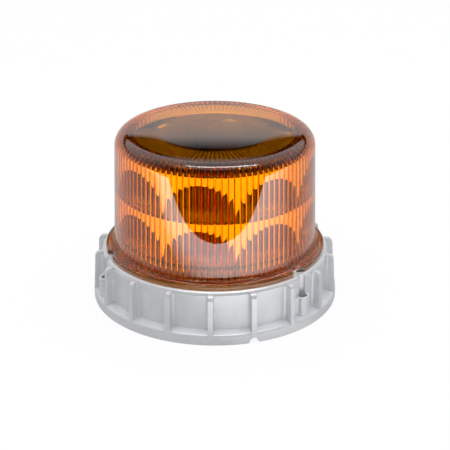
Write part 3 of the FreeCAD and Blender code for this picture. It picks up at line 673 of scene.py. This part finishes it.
# ---------------------------------------------------------------- operators
class BEACON_OT_lens(bpy.types.Operator):
    """Builds the fluted amber dome in place of the plain one"""
    bl_idname = "beacon.lens"
    bl_label = "Fluted lens"

    def execute(self, context):
        settings = context.scene.beacon_lens
        dome = mesh_object("fluted_lens", *lens_mesh(settings))
        sharpen(dome.data, SHARP_ANGLE)
        dome.data.materials.append(amber_plastic(settings))
        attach(dome, "lens")
        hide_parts("lens")
        return {"FINISHED"}


class BEACON_OT_casting(bpy.types.Operator):
    """Paints the die-cast base"""
    bl_idname = "beacon.casting"
    bl_label = "Casting paint"

    def execute(self, context):
        dress("base_housing", cast_paint(context.scene.beacon_casting))
        return {"FINISHED"}


class BEACON_OT_optics(bpy.types.Operator):
    """Plates the reflectors and finishes the LED boards and LEDs"""
    bl_idname = "beacon.optics"
    bl_label = "Optics"

    def execute(self, context):
        settings = context.scene.beacon_optics
        for node in ("reflector_upper", "reflector_lower"):
            dress(node, plating(settings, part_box(node)[1].z - settings.rim))
        mask = board_finish(settings)
        for node in ("led_board_upper", "led_board_lower"):
            dress(node, mask)
        phosphor = plain_finish("LED phosphor", settings.phosphor, roughness=0.25,
                                grain=2500.0, coat=0.6)
        for node in ("leds_upper", "leds_lower"):
            dress(node, phosphor)
        return {"FINISHED"}


class BEACON_OT_inner_parts(bpy.types.Operator):
    """Finishes the ring, seals, fasteners, electronics and cover"""
    bl_idname = "beacon.inner_parts"
    bl_label = "Inner parts"

    def execute(self, context):
        for name, (shade, rough, metallic, grain, strength, coat) in PLAIN.items():
            material = plain_finish(name, shade, rough, metallic, grain, strength, coat)
            for node in WEARS[name]:
                dress(node, material)
        return {"FINISHED"}


class BEACON_OT_stage(bpy.types.Operator):
    """Sets the pale floor, the surroundings, the overhead lamp and the camera"""
    bl_idname = "beacon.stage"
    bl_label = "Stage"

    def execute(self, context):
        settings = context.scene.beacon_stage
        context.scene.view_settings.view_transform = "Standard"
        make_floor(settings)
        make_world(settings)
        make_lamp(settings)
        make_camera(settings)
        return {"FINISHED"}


# ---------------------------------------------------------------- stage
def ray_kinds(tree):
    """What a ray is: seen by the camera, come through the lens, or mirrored by a surface.

    A refracted ray counts as glossy too, so a mirrored one is glossy and not transmitted.
    A ray that has left a matt surface is none of these: it carries the plain light.
    """
    path = tree.nodes.new("ShaderNodeLightPath")
    clear = maths(tree, "LESS_THAN", path.outputs["Diffuse Depth"], 0.5)
    through = maths(tree, "MULTIPLY", path.outputs["Is Transmission Ray"], clear)
    gloss = maths(tree, "SUBTRACT", path.outputs["Is Glossy Ray"],
                  path.outputs["Is Transmission Ray"], clamp=True)
    mirrored = maths(tree, "MULTIPLY", gloss, clear)
    return path.outputs["Is Camera Ray"], through, mirrored


def make_floor(settings):
    """White floor, whose front part ends in a dark room for mirrored rays.

    It can be seen through from below, so that the lamp's underside can be looked at.
    """
    half = settings.floor_size / 2
    points = np.array([[-half, -half, 0], [half, -half, 0], [half, half, 0], [-half, half, 0]])
    floor = mesh_object("floor", points, np.array([[0, 1, 2, 3]]))
    material, tree, shader = new_material("White table")
    set_values(shader, Base_Color=rgba([settings.floor_shade] * 3), Roughness=0.9,
               Specular_IOR_Level=0.1)

    def glow(strength):
        return shine(tree, "ShaderNodeEmission", WHITE, strength)

    seen, through, mirrored = ray_kinds(tree)
    across, along = axis(tree, "Object", "X"), axis(tree, "Object", "Y")
    edge = maths(tree, "MULTIPLY_ADD", across, math.tan(settings.table_turn),
                 -settings.table_edge)
    on_table = maths(tree, "GREATER_THAN", along, edge)
    start = slope(tree, across, -settings.glow_span, settings.glow_span,
                  -settings.glow_left, -settings.glow_right)
    front = slope(tree, along, start, -settings.glow_full, 0.0, settings.table_glow)
    in_gloss = maths(tree, "MULTIPLY", on_table,
                     maths(tree, "ADD", front, settings.gloss))
    in_glass = slope(tree, along, -settings.glass_table, settings.glass_table,
                     settings.glass_front, settings.glass_back)
    white = maths(tree, "MULTIPLY", seen, settings.floor_white)
    look = mix_shaders(tree, white, shader.outputs[0], glow(1.0))
    look = mix_shaders(tree, through, look, glow(in_glass))
    look = mix_shaders(tree, mirrored, look, glow(in_gloss))
    below = tree.nodes.new("ShaderNodeNewGeometry").outputs["Backfacing"]
    clear = tree.nodes.new("ShaderNodeBsdfTransparent").outputs[0]
    look = mix_shaders(tree, below, look, clear)
    tree.links.new(look, output_of(tree).inputs["Surface"])
    material.cycles.emission_sampling = "NONE"
    floor.data.materials.append(material)


def make_world(settings):
    """Plain soft light on the object, white to the camera, and a room in gloss and glass.

    Through the lens the walls are bright up to the horizon, then dark up to a pale opening
    overhead. In gloss the front is dark up to the same opening, and the back wall is pale up
    to the horizon and again above a dark gap.
    """
    s = settings
    world = bpy.data.worlds.new("Studio")
    bpy.context.scene.world = world
    world.use_nodes = True
    tree = world.node_tree
    tree.nodes.clear()

    def light(colour, strength):
        return shine(tree, "ShaderNodeBackground", colour, strength)

    height, depth = axis(tree, "Generated", "Z"), axis(tree, "Generated", "Y")
    sky = bands(tree, height, (s.horizon, s.sky), (s.sky_slope_top, s.sky_slope * s.sky),
                (s.ceiling_start, s.ceiling))
    behind = bands(tree, height, (s.horizon, 1.0), (s.horizon + s.wall_edge, 0.0),
                   (s.gap_top, 0.0), (s.upper_start, s.upper_glow))
    front = bands(tree, height, (s.hatch_start, s.front_glow), (s.hatch_full, 1.0))
    middle = 0.5
    turn = maths(tree, "MULTIPLY_ADD", depth, s.room_blend, middle, clamp=True)
    room = mix_colours(tree, turn, front, behind)
    inner = bands(tree, height, (s.horizon - s.wall_fade, 1.0), (s.horizon, 0.0),
                  (s.hatch_start, 0.0), (s.hatch_full, s.hatch_glass))
    in_glass = slope(tree, depth, -s.glass_walls, s.glass_walls, s.glass_front, s.glass_back)
    seen, through, mirrored = ray_kinds(tree)
    look = mix_shaders(tree, through, light(sky, 1.0), light(inner, in_glass))
    look = mix_shaders(tree, mirrored, look, light(room, s.gloss))
    look = mix_shaders(tree, seen, look, light(WHITE, 1.0))
    output = tree.nodes.new("ShaderNodeOutputWorld")
    tree.links.new(look, output.inputs["Surface"])


def make_lamp(settings):
    """A soft lamp overhead."""
    data = bpy.data.lights.new("overhead_lamp", "AREA")
    data.shape = "RECTANGLE"
    data.size, data.size_y = settings.key_width, settings.key_depth
    data.energy = settings.key_power
    lamp = bpy.data.objects.new("overhead_lamp", data)
    lamp.location = (settings.key_side, 0.0, settings.key_height)
    bpy.context.scene.collection.objects.link(lamp)


def make_camera(settings):
    """A long lens in front, looking a little down."""
    data = bpy.data.cameras.new("camera")
    data.lens, data.sensor_width = settings.camera_lens, 36.0
    data.shift_x = settings.camera_shift
    data.clip_start, data.clip_end = 0.01, 50.0
    camera = bpy.data.objects.new("camera", data)
    camera.location = (0.0, -settings.camera_distance, settings.camera_height)
    camera.rotation_euler = (math.pi / 2 - settings.camera_pitch, 0.0, 0.0)
    bpy.context.scene.collection.objects.link(camera)
    bpy.context.scene.camera = camera


class BEACON_PT_panel(bpy.types.Panel):
    """Buttons for the beacon's operators, and its settings"""
    bl_label = "Beacon"
    bl_idname = "BEACON_PT_panel"
    bl_space_type = "VIEW_3D"
    bl_region_type = "UI"
    bl_category = "Beacon"

    def draw(self, context):
        for operator in OPERATORS:
            self.layout.operator(operator.bl_idname)
        for name, group in SETTINGS.items():
            box = self.layout.box()
            settings = getattr(context.scene, name)
            for field in group.__annotations__:
                box.prop(settings, field)


OPERATORS = (BEACON_OT_lens, BEACON_OT_casting, BEACON_OT_optics, BEACON_OT_inner_parts,
             BEACON_OT_stage)
CLASSES = (*SETTINGS.values(), *OPERATORS, BEACON_PT_panel)


def register():
    for item in CLASSES:
        bpy.utils.register_class(item)
    for name, group in SETTINGS.items():
        setattr(bpy.types.Scene, name, PointerProperty(type=group))


def unregister():
    for name in SETTINGS:
        delattr(bpy.types.Scene, name)
    for item in reversed(CLASSES):
        bpy.utils.unregister_class(item)


def main():
    register()
    bpy.ops.beacon.lens()
    bpy.ops.beacon.casting()
    bpy.ops.beacon.optics()
    bpy.ops.beacon.inner_parts()
    bpy.ops.beacon.stage()


if __name__ == "__main__":
    main()
